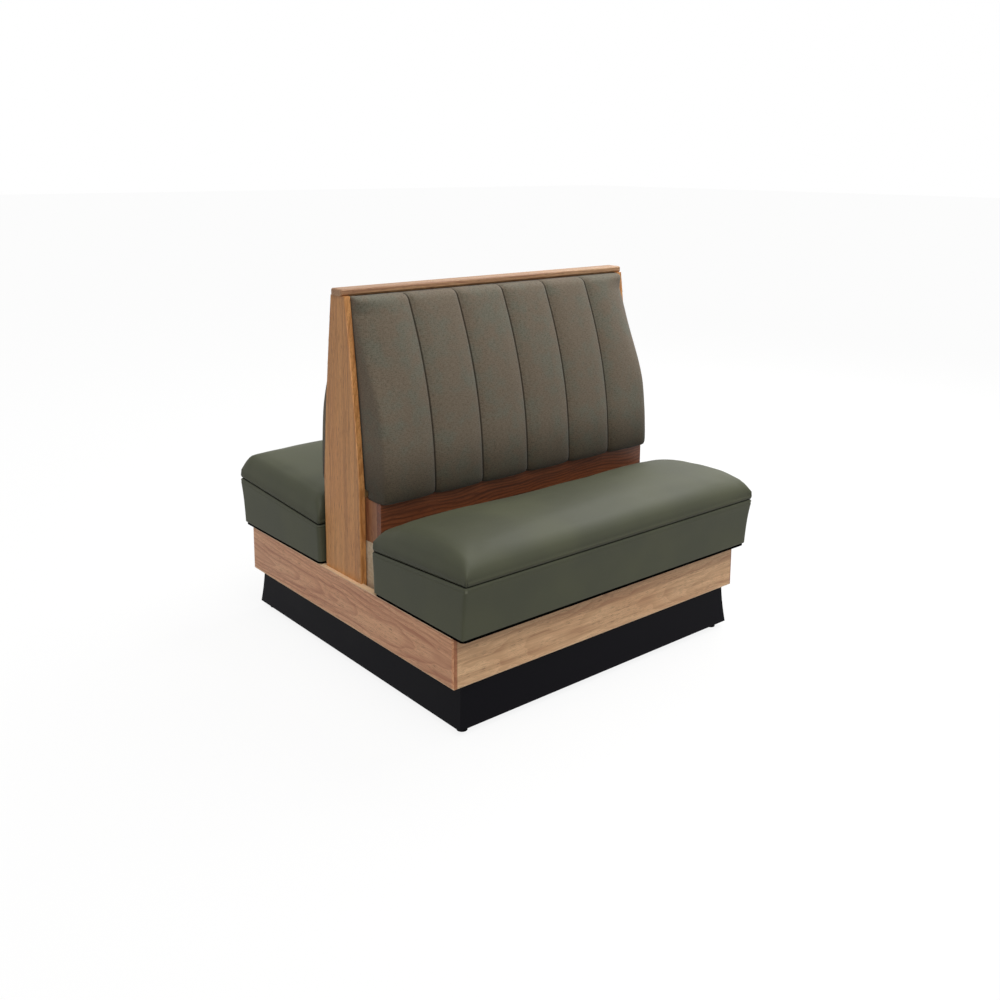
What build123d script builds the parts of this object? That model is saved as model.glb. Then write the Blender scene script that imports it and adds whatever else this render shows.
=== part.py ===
from build123d import *
from math import atan2, degrees
import os

# Back-to-back restaurant booth. Two upholstered seats share one tapered back between oak end
# panels, on an oak skirt over a flared black kick. X runs along the bench, Y from the front seat
# to the rear seat, Z up. The origin is on the floor at the middle. Lengths are in millimetres.

os.makedirs("parts", exist_ok=True)

half_turn = 180
overrun = 10

# Whole booth
overall_height = 1067
base_length = 1068
base_depth = 1040

# Timber
oak_board = 19
framing = 38
panel_edge_round = 2.5

# Levelling glides and their threaded inserts
floor_gap = 18
glide_inset = 31
glide_disc_radius = 14
glide_disc_height = 5
glide_disc_round = 1.5
glide_nut_flats = 13
glide_nut_height = 5
glide_stem_radius = 4
glide_stem_length = 60
thread_clearance = 0.2
insert_wall = 1.8
insert_length = 25
insert_flange_radius = 10
insert_flange_height = 1.5

# Black kick: the foot of each board sweeps outward
kick_height = 115
kick_flare = 11
kick_sweep_share = 0.37
kick_thickness = 15
kick_end_setback = 32
kick_front_setback = 14
kick_block_width = 62
kick_block_rise = 4
kick_rail_share = 0.35

# Oak skirt
skirt_height = 135
skirt_arris = 8
skirt_bevel = 3
back_sink = 17

# Seats
seat_clearance = 0.3
seat_end_overhang = 3
seat_front_overhang = 39
front_seat_rear = 176
rear_seat_rear = 105
base_board_height = 6.7
base_board_inset = 2
apron_height = 141
apron_lean = 13
apron_swell = 3
apron_end_swell = 4.5
apron_belly_height = 0.5
apron_belly_share = 0.3
apron_brim_height = 0.93
apron_padding = 12
seam_fall = 25
seat_plan_radius = 12
seat_board = 18
deck_thickness = 12
locating_block_length = 90
locating_block_width = 34
locating_block_depth = 12
locating_block_gap = 8
locating_block_share = 0.6

# Seat cushion, from its seam upward
cushion_height = 80
cushion_crown_flat = 83
cushion_side_shares = (
    (0, 0.024),
    (0.12, -0.012),
    (0.25, -0.026),
    (0.45, -0.022),
    (0.6, 0.006),
    (0.73, 0.053),
    (0.82, 0.11),
)
cushion_crown_shares = ((0.82, 0.11), (0.94, 0.47), (1, 1))
cushion_radius_share = 0.12

# Back frame, panels and cap
panel_setback = 12
panel_foot_half = 91
panel_top_half = 35
panel_shoulder_height = 279
panel_bow = 4.5
cap_height = 19
cap_half_width = 27
cap_overhang = 4
cap_step = 5
cap_round = 6
front_rail_face = 160
rear_rail_face = 98
rail_height = 142
rail_top_gap = 1
rail_end_gap = 3
pad_board_thickness = 9
pad_recess_bottom = 17
pad_recess_top = 15
top_rail_height = 60
lower_rail_height = 90
lower_rail_half = 19

# Back pads
channel_count = 6
pad_side_gap = 5
pad_top_gap = 2
pad_drop = 23
front_pad_reach = 188
rear_pad_reach = 148
pad_soft_clearance = 0.3
pad_roll_shares = ((0, 0.94, 0.95), (0.015, 0.985, 0.95), (0.045, 1, 0.95))
pad_low_shares = ((0.045, 1, 0.95), (0.234, 0.97, 0.92), (0.42, 0.884, 0.89), (0.605, 0.741, 0.79))
pad_high_shares = ((0.605, 0.741, 0.79), (0.787, 0.546, 0.58), (0.886, 0.414, 0.46), (0.965, 0.302, 0.47))
pad_crest_shares = ((0.965, 0.302, 0.47), (0.985, 0.226, 0.55), (1, 0.12, 0.8))
pad_seam_share = 0.9

# Screws
screw_radius = 2
screw_head_radius = 4
screw_head_height = 3
screw_length = 32
screw_clearance = 0.1
panel_screw_rows = 3
cap_screws_per_bay = 2
screw_edge_margin = 90
screw_sink_angle = 2 * degrees(atan2(screw_head_radius - screw_radius, screw_head_height))

# Heights above the floor
kick_top = floor_gap + kick_height
base_top = kick_top + skirt_height
back_foot = base_top - back_sink
seat_bottom = base_top + seat_clearance + base_board_height
cap_bottom = overall_height - cap_height
shoulder = back_foot + panel_shoulder_height
rail_bottom = shoulder - rail_height
pad_bottom = shoulder - pad_drop

# Kick and skirt faces, as distances from the middle
kick_out_x = base_length / 2 - kick_end_setback
kick_out_y = base_depth / 2 - kick_front_setback
kick_in_x = kick_out_x - kick_thickness
kick_in_y = kick_out_y - kick_thickness
skirt_in_x = base_length / 2 - oak_board
skirt_in_y = base_depth / 2 - oak_board
panel_outer = base_length / 2 - panel_setback
panel_inner = panel_outer - oak_board
rib_inner = panel_inner - oak_board
rail_inner = rear_rail_face - oak_board
side_rail_in = skirt_in_x - framing
bearer_in = skirt_in_y - framing
glide_x = kick_out_x + kick_flare - glide_inset
glide_y = kick_out_y + kick_flare - glide_inset
block_bottom = floor_gap + kick_block_rise

# Seats stand out past the skirt; the seam between seat box and cushion falls toward the back
seat_half_length = base_length / 2 + seat_end_overhang
seat_front = base_depth / 2 + seat_front_overhang
seam_front = seat_front + apron_lean
seam_slope = seam_fall / (seam_front - front_seat_rear)
cushion_crown_reach = (seat_front - front_seat_rear - cushion_crown_flat) / 2

# Seat box inside the padding
box_half_length = seat_half_length - apron_padding
box_front = seat_front - apron_padding

# Back plane of the pads, and the board behind it
pad_back_bottom = panel_foot_half - pad_recess_bottom
pad_back_top = panel_top_half - pad_recess_top
pad_slope = (pad_back_bottom - pad_back_top) / (cap_bottom - shoulder)
rib_half_bottom = pad_back_bottom - pad_board_thickness
rib_half_top = pad_back_top - pad_board_thickness
pad_top = cap_bottom - pad_top_gap
pad_half_length = panel_inner - pad_side_gap

sides = {"front": (0, -1), "rear": (0, 1), "left": (-1, 0), "right": (1, 0)}


def pad_back(height):
    """Distance of the pad's back plane from the middle at a height."""
    return pad_back_bottom - (height - shoulder) * pad_slope


def rib_half(height):
    """Half width of the tapered ribs at a height above the shoulder."""
    return pad_back(height) - pad_board_thickness


def end_planes(out_way, out, span, shift, turn):
    """Upright 45 degree planes at both ends of a board, facing its middle."""
    out_x, out_y = out_way
    planes = []
    for end in (1, -1):
        along_x, along_y = end * out_y, -end * out_x
        corner = (out_x * out + along_x * (span - shift), out_y * out + along_y * (span - shift), 0)
        facing = (turn * out_x - along_x, turn * out_y - along_y, 0)
        planes.append(Plane(origin=corner, z_dir=facing))
    return planes


def outward_section(out_way):
    """Upright plane whose x axis points outward from the booth."""
    out_x, out_y = out_way
    return Plane(origin=(0, 0, 0), x_dir=(out_x, out_y, 0), z_dir=(out_y, -out_x, 0))


# Kick boards, mitred at the corners, with a straight battered inner face
for side, out_way in sides.items():
    out = kick_out_x if out_way[0] else kick_out_y
    span = kick_out_y if out_way[0] else kick_out_x
    with BuildPart() as kick_board:
        with BuildSketch(outward_section(out_way)):
            with BuildLine():
                foot = (out + kick_flare, floor_gap)
                middle = (out + kick_flare * kick_sweep_share, floor_gap + kick_height / 2)
                head = (out, kick_top)
                ThreePointArc(foot, middle, head)
                Line(head, (out - kick_thickness, kick_top))
                Line((out - kick_thickness, kick_top), (out + kick_flare - kick_thickness, floor_gap))
                Line((out + kick_flare - kick_thickness, floor_gap), foot)
            make_face()
        extrude(amount=base_length, both=True)
        for plane in end_planes(out_way, out, span, 0, 1):
            split(bisect_by=plane, keep=Keep.TOP)
    kick_board.part.label = f"kick_board_{side}"
    export_step(kick_board.part, f"parts/kick_board_{side}.step")

# Corner blocks of the kick follow its batter and take the inserts
batter = kick_flare / kick_height
block_flare = batter * (kick_top - block_bottom)
insert_radius = glide_stem_radius + thread_clearance + insert_wall
with BuildPart() as kick_corner_blocks:
    for way_x in (1, -1):
        for way_y in (1, -1):
            for height, reach in ((block_bottom, block_flare), (kick_top, 0)):
                with BuildSketch(Plane.XY.offset(height)):
                    near_x = kick_in_x - kick_block_width
                    near_y = kick_in_y - kick_block_width
                    width_x = kick_block_width + reach
                    width_y = kick_block_width + reach
                    with Locations((way_x * (near_x + width_x / 2), way_y * (near_y + width_y / 2))):
                        Rectangle(width_x, width_y)
            loft(ruled=True)
    with BuildSketch(Plane.XY.offset(block_bottom)):
        with GridLocations(2 * glide_x, 2 * glide_y, 2, 2):
            Circle(insert_radius)
    extrude(amount=glide_stem_length + overrun, mode=Mode.SUBTRACT)
kick_corner_blocks.part.label = "kick_corner_blocks"
export_step(kick_corner_blocks.part, "parts/kick_corner_blocks.step")

# Threaded inserts, flanged under the blocks
with BuildPart() as glide_inserts:
    with BuildSketch(Plane.XY.offset(block_bottom - insert_flange_height)):
        with GridLocations(2 * glide_x, 2 * glide_y, 2, 2):
            Circle(insert_flange_radius)
    extrude(amount=insert_flange_height)
    with BuildSketch(Plane.XY.offset(block_bottom)):
        with GridLocations(2 * glide_x, 2 * glide_y, 2, 2):
            Circle(insert_radius)
    extrude(amount=insert_length)
    with BuildSketch(Plane.XY.offset(block_bottom - insert_flange_height)):
        with GridLocations(2 * glide_x, 2 * glide_y, 2, 2):
            Circle(glide_stem_radius + thread_clearance)
    extrude(amount=insert_length + insert_flange_height, mode=Mode.SUBTRACT)
glide_inserts.part.label = "glide_inserts"
export_step(glide_inserts.part, "parts/glide_inserts.step")

# Levelling glides: a rounded foot, a nut and a threaded stem turned as one piece
corners = {"front_left": (-1, -1), "front_right": (1, -1), "rear_left": (-1, 1), "rear_right": (1, 1)}
for corner, (way_x, way_y) in corners.items():
    with BuildPart() as glide:
        with BuildSketch(Plane.XY):
            with Locations((way_x * glide_x, way_y * glide_y)):
                Circle(glide_disc_radius)
        extrude(amount=glide_disc_height)
        fillet(glide.edges().group_by(Axis.Z)[-1], radius=glide_disc_round)
        with BuildSketch(Plane.XY.offset(glide_disc_height)):
            with Locations((way_x * glide_x, way_y * glide_y)):
                RegularPolygon(radius=glide_nut_flats / 2, side_count=6, major_radius=False)
        extrude(amount=glide_nut_height)
        with BuildSketch(Plane.XY.offset(glide_disc_height + glide_nut_height)):
            with Locations((way_x * glide_x, way_y * glide_y)):
                Circle(glide_stem_radius)
        extrude(amount=glide_stem_length)
    glide.part.label = f"glide_{corner}"
    export_step(glide.part, f"parts/glide_{corner}.step")

# Cross rails of the kick run from front board to rear board
kick_rail_x = kick_in_x * kick_rail_share
with BuildPart() as kick_cross_rails:
    for way_x in (1, -1):
        with BuildSketch(Plane.YZ.offset(way_x * kick_rail_x - oak_board / 2)):
            with BuildLine():
                low = kick_in_y + block_flare
                Polyline(
                    (-low, block_bottom),
                    (low, block_bottom),
                    (kick_in_y, kick_top),
                    (-kick_in_y, kick_top),
                    close=True,
                )
            make_face()
        extrude(amount=oak_board)
kick_cross_rails.part.label = "kick_cross_rails"
export_step(kick_cross_rails.part, "parts/kick_cross_rails.step")

# Oak skirt, mitred, with an eased corner
for side, out_way in sides.items():
    is_end = bool(out_way[0])
    out = base_length / 2 if is_end else base_depth / 2
    span = base_depth / 2 if is_end else base_length / 2
    with BuildPart() as skirt_board:
        with BuildSketch(outward_section(out_way)):
            with BuildLine():
                Polyline(
                    (out - oak_board, kick_top),
                    (out - skirt_bevel, kick_top),
                    (out, kick_top + skirt_bevel),
                    (out, base_top),
                    (out - oak_board, base_top),
                    close=True,
                )
            make_face()
        extrude(amount=base_length, both=True)
        for plane in end_planes(out_way, out, span, 0, 1):
            split(bisect_by=plane, keep=Keep.TOP)
        for plane in end_planes(out_way, out, span, skirt_arris, -1):
            split(bisect_by=plane, keep=Keep.TOP)
    skirt_board.part.label = f"skirt_board_{side}"
    export_step(skirt_board.part, f"parts/skirt_board_{side}.step")

# Side rails of the base carry the end panels
for side, way in (("left", -1), ("right", 1)):
    with BuildPart() as side_rail:
        with BuildSketch(Plane.XY.offset(kick_top)):
            with Locations((way * (skirt_in_x + side_rail_in) / 2, 0)):
                Rectangle(framing, 2 * bearer_in)
        extrude(amount=back_foot - kick_top)
    side_rail.part.label = f"base_side_rail_{side}"
    export_step(side_rail.part, f"parts/base_side_rail_{side}.step")

# Bearers along the front and rear edges
for side, way in (("front", -1), ("rear", 1)):
    with BuildPart() as bearer:
        with BuildSketch(Plane.XY.offset(kick_top)):
            with Locations((0, way * (skirt_in_y + bearer_in) / 2)):
                Rectangle(2 * skirt_in_x, framing)
        extrude(amount=skirt_height)
    bearer.part.label = f"base_bearer_{side}"
    export_step(bearer.part, f"parts/base_bearer_{side}.step")

# Middle bearers under the rear edges of the seats
with BuildPart() as base_bearers_middle:
    with BuildSketch(Plane.XY.offset(kick_top)):
        for middle in (-front_seat_rear - framing / 2, rear_seat_rear + framing / 2):
            with Locations((0, middle)):
                Rectangle(2 * side_rail_in, framing)
    extrude(amount=skirt_height)
base_bearers_middle.part.label = "base_bearers_middle"
export_step(base_bearers_middle.part, "parts/base_bearers_middle.step")

# Centre stretcher under the middle rib
with BuildPart() as base_centre_stretcher:
    with BuildSketch(Plane.XY.offset(kick_top)):
        with Locations((0, (rear_seat_rear - front_seat_rear) / 2)):
            Rectangle(framing, front_seat_rear + rear_seat_rear)
    extrude(amount=back_foot - kick_top)
base_centre_stretcher.part.label = "base_centre_stretcher"
export_step(base_centre_stretcher.part, "parts/base_centre_stretcher.step")

# Places of the screws that hold the ribs to the end panels, heads on the inner face of each rib
screw_bore = screw_radius + screw_clearance
screw_head_bore = screw_head_radius + screw_clearance
screw_rise = (cap_bottom - top_rail_height - back_foot - screw_edge_margin) / (panel_screw_rows - 1)
panel_screw_planes = {"left": [], "right": []}
for row in range(panel_screw_rows):
    screw_height = back_foot + screw_edge_margin / 2 + row * screw_rise
    reach = rib_half(max(screw_height, shoulder)) / 2
    for way in (1, -1):
        head_right = Plane(origin=(rib_inner, way * reach, screw_height), z_dir=(-1, 0, 0))
        head_left = Plane(origin=(-rib_inner, way * reach, screw_height), z_dir=(1, 0, 0))
        panel_screw_planes["right"].append(head_right)
        panel_screw_planes["left"].append(head_left)

# Places of the screws that run up through the top rails into the cap
bay_start = oak_board / 2
bay_length = rib_inner - bay_start
top_rail_foot = cap_bottom - top_rail_height
cap_screw_head = cap_bottom + cap_height / 2 - screw_length
cap_screw_planes = []
for number in range(cap_screws_per_bay):
    place = bay_start + bay_length * (number + 1) / (cap_screws_per_bay + 1)
    for way in (1, -1):
        cap_screw_planes.append(Plane(origin=(way * place, 0, cap_screw_head), z_dir=(0, 0, -1)))

# End panels of oak: upright below the shoulder, then a slightly bowed taper to the cap; the foot
# is thinned to drop behind the skirt, so the face of the panel ends on the skirt's top edge
with BuildPart() as end_panel_right:
    with BuildSketch(Plane.YZ.offset(panel_inner)):
        with BuildLine():
            bow_half = (panel_foot_half + panel_top_half) / 2 + panel_bow
            bow_height = (shoulder + cap_bottom) / 2
            foot_front = (-panel_foot_half, back_foot)
            foot_rear = (panel_foot_half, back_foot)
            shoulder_front = (-panel_foot_half, shoulder)
            shoulder_rear = (panel_foot_half, shoulder)
            head_front = (-panel_top_half, cap_bottom)
            head_rear = (panel_top_half, cap_bottom)
            Line(foot_front, foot_rear)
            Line(foot_rear, shoulder_rear)
            ThreePointArc(shoulder_rear, (bow_half, bow_height), head_rear)
            Line(head_rear, head_front)
            ThreePointArc(head_front, (-bow_half, bow_height), shoulder_front)
            Line(shoulder_front, foot_front)
        make_face()
    extrude(amount=oak_board)
    outer_arrises = end_panel_right.faces().sort_by(Axis.X)[-1].edges().sort_by(Axis.Z)[1:-1]
    inner_arrises = end_panel_right.faces().sort_by(Axis.X)[0].edges().sort_by(Axis.Z)[1:-1]
    fillet(outer_arrises + inner_arrises, radius=panel_edge_round)
    with BuildSketch(Plane.YZ.offset(skirt_in_x)):
        with Locations((0, back_foot)):
            Rectangle(2 * panel_foot_half + overrun, 2 * back_sink)
    extrude(amount=oak_board, mode=Mode.SUBTRACT)
    with Locations(*[plane.offset(-oak_board) for plane in panel_screw_planes["right"]]):
        Hole(radius=screw_bore, depth=screw_length - oak_board + screw_clearance)
end_panel_right.part.label = "end_panel_right"
export_step(end_panel_right.part, "parts/end_panel_right.step")

with BuildPart() as end_panel_left:
    add(end_panel_right.part, rotation=(0, 0, half_turn))
end_panel_left.part.label = "end_panel_left"
export_step(end_panel_left.part, "parts/end_panel_left.step")

# Tapered ribs of the back, stepped at the shoulder where the pad boards stand
rib_starts = {"left": -panel_inner, "middle": -oak_board / 2, "right": rib_inner}
for place, start in rib_starts.items():
    with BuildPart() as back_rib:
        with BuildSketch(Plane.YZ.offset(start)):
            with BuildLine():
                Polyline(
                    (rail_inner, back_foot),
                    (rail_inner, shoulder),
                    (rib_half_bottom, shoulder),
                    (rib_half_top, cap_bottom),
                    (-rib_half_top, cap_bottom),
                    (-rib_half_bottom, shoulder),
                    (-rail_inner, shoulder),
                    (-rail_inner, back_foot),
                    close=True,
                )
            make_face()
        extrude(amount=oak_board)
        if place in panel_screw_planes:
            with Locations(*panel_screw_planes[place]):
                CounterSinkHole(
                    screw_bore, screw_head_bore, depth=oak_board, counter_sink_angle=screw_sink_angle
                )
    back_rib.part.label = f"back_rib_{place}"
    export_step(back_rib.part, f"parts/back_rib_{place}.step")

with BuildPart() as panel_screws:
    with Locations(*panel_screw_planes["left"], *panel_screw_planes["right"]):
        head_align = (Align.CENTER, Align.CENTER, Align.MAX)
        Cone(screw_radius, screw_head_radius, screw_head_height, align=head_align)
        Cylinder(screw_radius, screw_length, align=head_align)
panel_screws.part.label = "panel_screws"
export_step(panel_screws.part, "parts/panel_screws.step")

# Top rails between the ribs take the cap's screws
with BuildPart() as back_top_rails:
    for start in (bay_start, -rib_inner):
        with BuildSketch(Plane.YZ.offset(start)):
            with BuildLine():
                Polyline(
                    (-rib_half(top_rail_foot), top_rail_foot),
                    (rib_half(top_rail_foot), top_rail_foot),
                    (rib_half_top, cap_bottom),
                    (-rib_half_top, cap_bottom),
                    close=True,
                )
            make_face()
        extrude(amount=bay_length)
    with Locations(*cap_screw_planes):
        CounterSinkHole(screw_bore, screw_head_bore, depth=screw_length, counter_sink_angle=screw_sink_angle)
back_top_rails.part.label = "back_top_rails"
export_step(back_top_rails.part, "parts/back_top_rails.step")

with BuildPart() as cap_screws:
    with Locations(*cap_screw_planes):
        head_align = (Align.CENTER, Align.CENTER, Align.MAX)
        Cone(screw_radius, screw_head_radius, screw_head_height, align=head_align)
        Cylinder(screw_radius, screw_length, align=head_align)
cap_screws.part.label = "cap_screws"
export_step(cap_screws.part, "parts/cap_screws.step")

# Lower rails stiffen the frame at the shoulder
with BuildPart() as back_lower_rails:
    for start in (bay_start, -rib_inner):
        with BuildSketch(Plane.YZ.offset(start)):
            with Locations((0, shoulder - lower_rail_height / 2)):
                Rectangle(2 * lower_rail_half, lower_rail_height)
        extrude(amount=bay_length)
back_lower_rails.part.label = "back_lower_rails"
export_step(back_lower_rails.part, "parts/back_lower_rails.step")

# Moulded cap: a cove under the overhang and rounded top edges, drawn in at the ends as well
with BuildPart() as top_cap:
    with BuildSketch(Plane.YZ):
        with BuildLine():
            neck = cap_half_width - cap_step
            cove = cap_step / 2
            step_height = cap_bottom + cap_step
            cove_height = step_height - cove
            cove_out = neck + cove / 2
            crest = cap_half_width - cap_round
            round_start = overall_height - cap_round
            Line((-neck, cap_bottom), (neck, cap_bottom))
            ThreePointArc((neck, cap_bottom), (cove_out, cove_height), (cap_half_width, step_height))
            Line((cap_half_width, step_height), (cap_half_width, round_start))
            RadiusArc((cap_half_width, round_start), (crest, overall_height), -cap_round)
            Line((crest, overall_height), (-crest, overall_height))
            RadiusArc((-crest, overall_height), (-cap_half_width, round_start), -cap_round)
            Line((-cap_half_width, round_start), (-cap_half_width, step_height))
            ThreePointArc((-cap_half_width, step_height), (-cove_out, cove_height), (-neck, cap_bottom))
        make_face()
    extrude(amount=panel_outer + cap_overhang, both=True)
    fillet(top_cap.faces().filter_by(Axis.X).edges().sort_by(Axis.Z)[-2:], radius=cap_step)
    with Locations(*cap_screw_planes):
        Hole(radius=screw_bore, depth=screw_length + screw_clearance)
top_cap.part.label = "top_cap"
export_step(top_cap.part, "parts/top_cap.step")


def export_turned(piece, name, turn):
    """Writes a piece that was built facing the front, turned to the side it belongs to."""
    with BuildPart() as placed:
        add(piece, rotation=(0, 0, turn))
    placed.part.label = name
    export_step(placed.part, f"parts/{name}.step")


# Oak rail under each pad and the pale board below it, behind the seat. At the front they stand
# off from the ribs, right under the pad; at the rear they are on the ribs.
front_rail_top = pad_bottom - rail_top_gap
rail_places = {"front": (front_rail_face, front_rail_top, 0), "rear": (rear_rail_face, shoulder, half_turn)}
for side, (face, rail_top, turn) in rail_places.items():
    with BuildPart() as back_rail:
        with BuildSketch(Plane.XZ.offset(face - oak_board)):
            with Locations((0, (rail_bottom + rail_top) / 2)):
                Rectangle(2 * (panel_inner - rail_end_gap), rail_top - rail_bottom)
        extrude(amount=oak_board)
        front_arrises = back_rail.faces().sort_by(Axis.Y)[0].edges().filter_by(Axis.X)
        fillet(front_arrises, radius=panel_edge_round)
    export_turned(back_rail.part, f"back_rail_{side}", turn)
    with BuildPart() as seat_back_board:
        with BuildSketch(Plane.XZ.offset(face - oak_board)):
            with Locations((0, (rail_bottom + back_foot) / 2)):
                Rectangle(2 * (panel_inner - rail_end_gap), rail_bottom - back_foot)
        extrude(amount=oak_board)
    export_turned(seat_back_board.part, f"seat_back_board_{side}", turn)

# Blocks at both ends and in the middle hold the front rail and board off the ribs
block_depth = front_rail_face - oak_board - rail_inner
block_reach = panel_inner - rail_end_gap - oak_board / 2
block_rows = {"back_rail_blocks": (rail_bottom, front_rail_top), "seat_back_blocks": (back_foot, rail_bottom)}
for name, (low, high) in block_rows.items():
    with BuildPart() as blocks:
        with BuildSketch(Plane.XY.offset(low)):
            with Locations((0, -rail_inner - block_depth / 2)):
                with GridLocations(block_reach, 0, 3, 1):
                    Rectangle(oak_board, block_depth)
        extrude(amount=high - low)
    export_turned(blocks.part, name, 0)

# Plywood behind each pad stands on the steps of the ribs
with BuildPart() as pad_board:
    with BuildSketch(Plane.YZ):
        with BuildLine():
            Polyline(
                (-rib_half_bottom, shoulder),
                (-pad_back_bottom, shoulder),
                (-pad_back(pad_top), pad_top),
                (-rib_half(pad_top), pad_top),
                close=True,
            )
        make_face()
    extrude(amount=pad_half_length, both=True)
export_turned(pad_board.part, "pad_board_front", 0)
export_turned(pad_board.part, "pad_board_rear", half_turn)

# Channelled back pad: flat sections up the back, each with one arc a channel, lofted into flutes
channel_width = 2 * pad_half_length / channel_count
for side, pad_reach, turn in (("front", front_pad_reach, 0), ("rear", rear_pad_reach, half_turn)):
    with BuildPart() as back_pad:
        for shares in (pad_roll_shares, pad_low_shares, pad_high_shares, pad_crest_shares):
            for height_share, reach_share, side_share in shares:
                height = pad_bottom + height_share * (pad_top - pad_bottom)
                back = pad_back(height)
                depth = pad_back_top + reach_share * (pad_reach - pad_back_top) - back
                with BuildSketch(Plane.XY.offset(height)):
                    with BuildLine():
                        start = (-pad_half_length, -back - depth * side_share)
                        Line((-pad_half_length, -back), start)
                        for channel in range(channel_count):
                            left = -pad_half_length + channel * channel_width
                            last = channel == channel_count - 1
                            end_depth = depth * (side_share if last else pad_seam_share)
                            crown = (left + channel_width / 2, -back - depth)
                            finish = (left + channel_width, -back - end_depth)
                            ThreePointArc(start, crown, finish)
                            start = finish
                        Line(start, (pad_half_length, -back))
                        Line((pad_half_length, -back), (-pad_half_length, -back))
                    make_face()
            loft()
        with BuildSketch(Plane.XY.offset(pad_bottom - overrun)):
            Rectangle(base_length, 2 * (rear_rail_face + pad_soft_clearance))
        extrude(amount=pad_drop + overrun + pad_soft_clearance, mode=Mode.SUBTRACT)
    export_turned(back_pad.part, f"back_pad_{side}", turn)

# Both seats are built facing the front, and the rear one is turned half round. The front seat
# stops at its rail; the rear one runs on until it meets the end panels.
for side, rear_edge, turn in (("front", front_seat_rear, 0), ("rear", rear_seat_rear, half_turn)):
    seam_run = seam_front - rear_edge
    seam_z = seat_bottom + apron_height - seam_slope * seam_run / 2
    seam_middle = (0, -(seam_front + rear_edge) / 2, seam_z)
    seam_plane = Plane(origin=seam_middle, x_dir=(1, 0, 0), z_dir=(0, seam_slope, 1))
    deck_plane = seam_plane.offset(-deck_thickness)
    box_rear = rear_edge + apron_padding
    box_middle = -(box_front + box_rear) / 2
    box_depth = box_front - box_rear

    # Black base board under the seat box
    with BuildPart() as seat_base_board:
        with BuildSketch(Plane.XY.offset(seat_bottom - base_board_height)):
            with Locations((0, -(seat_front + rear_edge) / 2)):
                base_board_span = seat_front - rear_edge - 2 * base_board_inset
                RectangleRounded(2 * (seat_half_length - base_board_inset), base_board_span, seat_plan_radius)
        extrude(amount=base_board_height)
    export_turned(seat_base_board.part, f"{side}_seat_base_board", turn)

    # Blocks under the base board drop behind the bearer and keep the seat from sliding
    with BuildPart() as seat_locating_blocks:
        with BuildSketch(Plane.XY.offset(seat_bottom - base_board_height - locating_block_depth)):
            block_y = -(bearer_in - locating_block_gap - locating_block_width / 2)
            for way in (1, -1):
                with Locations((way * box_half_length * locating_block_share, block_y)):
                    Rectangle(locating_block_length, locating_block_width)
        extrude(amount=locating_block_depth)
    export_turned(seat_locating_blocks.part, f"{side}_seat_locating_blocks", turn)

    # Boards of the seat box, cut off along the underside of the tilted deck
    box_places = {
        "front_board": (0, -box_front + seat_board / 2, 2 * box_half_length, seat_board),
        "rear_board": (0, -box_rear - seat_board / 2, 2 * box_half_length, seat_board),
        "rib": (0, box_middle, seat_board, box_depth - 2 * seat_board),
    }
    for name, (middle_x, middle_y, width, depth) in box_places.items():
        with BuildPart() as seat_member:
            with BuildSketch(Plane.XY.offset(seat_bottom)):
                with Locations((middle_x, middle_y)):
                    Rectangle(width, depth)
            extrude(amount=apron_height)
            split(bisect_by=deck_plane, keep=Keep.BOTTOM)
        export_turned(seat_member.part, f"{side}_seat_{name}", turn)

    with BuildPart() as seat_end_boards:
        with BuildSketch(Plane.XY.offset(seat_bottom)):
            with Locations((0, box_middle)):
                with GridLocations(2 * box_half_length - seat_board, 0, 2, 1):
                    Rectangle(seat_board, box_depth - 2 * seat_board)
        extrude(amount=apron_height)
        split(bisect_by=deck_plane, keep=Keep.BOTTOM)
    export_turned(seat_end_boards.part, f"{side}_seat_end_boards", turn)

    with BuildPart() as seat_deck:
        with BuildSketch(Plane.XY.offset(seat_bottom)):
            with Locations((0, box_middle)):
                Rectangle(2 * box_half_length, box_depth)
        extrude(amount=apron_height + overrun)
        split(bisect_by=deck_plane, keep=Keep.TOP)
        split(bisect_by=seam_plane, keep=Keep.BOTTOM)
    export_turned(seat_deck.part, f"{side}_seat_deck", turn)

    # Padded vinyl round the box: hollow below, widest at the brim under the seam
    full_front = apron_lean + apron_swell
    belly_height = seat_bottom + apron_height * apron_belly_height
    brim_height = seat_bottom + apron_height * apron_brim_height
    apron_sections = (
        (seat_bottom, 0, 0),
        (belly_height, apron_end_swell * apron_belly_share, full_front * apron_belly_share),
        (brim_height, apron_end_swell, full_front),
        (seat_bottom + apron_height + overrun, apron_end_swell, full_front),
    )
    with BuildPart() as seat_apron:
        for height, end_swell, front_swell in apron_sections:
            with BuildSketch(Plane.XY.offset(height)):
                front = seat_front + front_swell
                with Locations((0, -(front + rear_edge) / 2)):
                    RectangleRounded(2 * (seat_half_length + end_swell), front - rear_edge, seat_plan_radius)
        loft()
        split(bisect_by=seam_plane, keep=Keep.BOTTOM)
        with BuildSketch(Plane.XY.offset(seat_bottom)):
            with Locations((0, box_middle)):
                Rectangle(2 * box_half_length, box_depth)
        extrude(amount=apron_height + overrun, mode=Mode.SUBTRACT)
    export_turned(seat_apron.part, f"{side}_seat_apron", turn)

    # Cushion: drawn in at the seam, rolled edges, and a crown that keeps rising toward the middle
    with BuildPart() as seat_cushion:
        for shares in (cushion_side_shares, cushion_crown_shares):
            for height_share, inset_share in shares:
                inset = inset_share * cushion_crown_reach
                radius = seat_plan_radius + max(inset, 0) * cushion_radius_share
                with BuildSketch(seam_plane.offset(height_share * cushion_height)):
                    RectangleRounded(2 * (seat_half_length - inset), seam_run - 2 * inset, radius)
            loft()
    export_turned(seat_cushion.part, f"{side}_seat_cushion", turn)
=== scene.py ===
import math

import bmesh
import bpy
from mathutils import Matrix, Vector, noise


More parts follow.
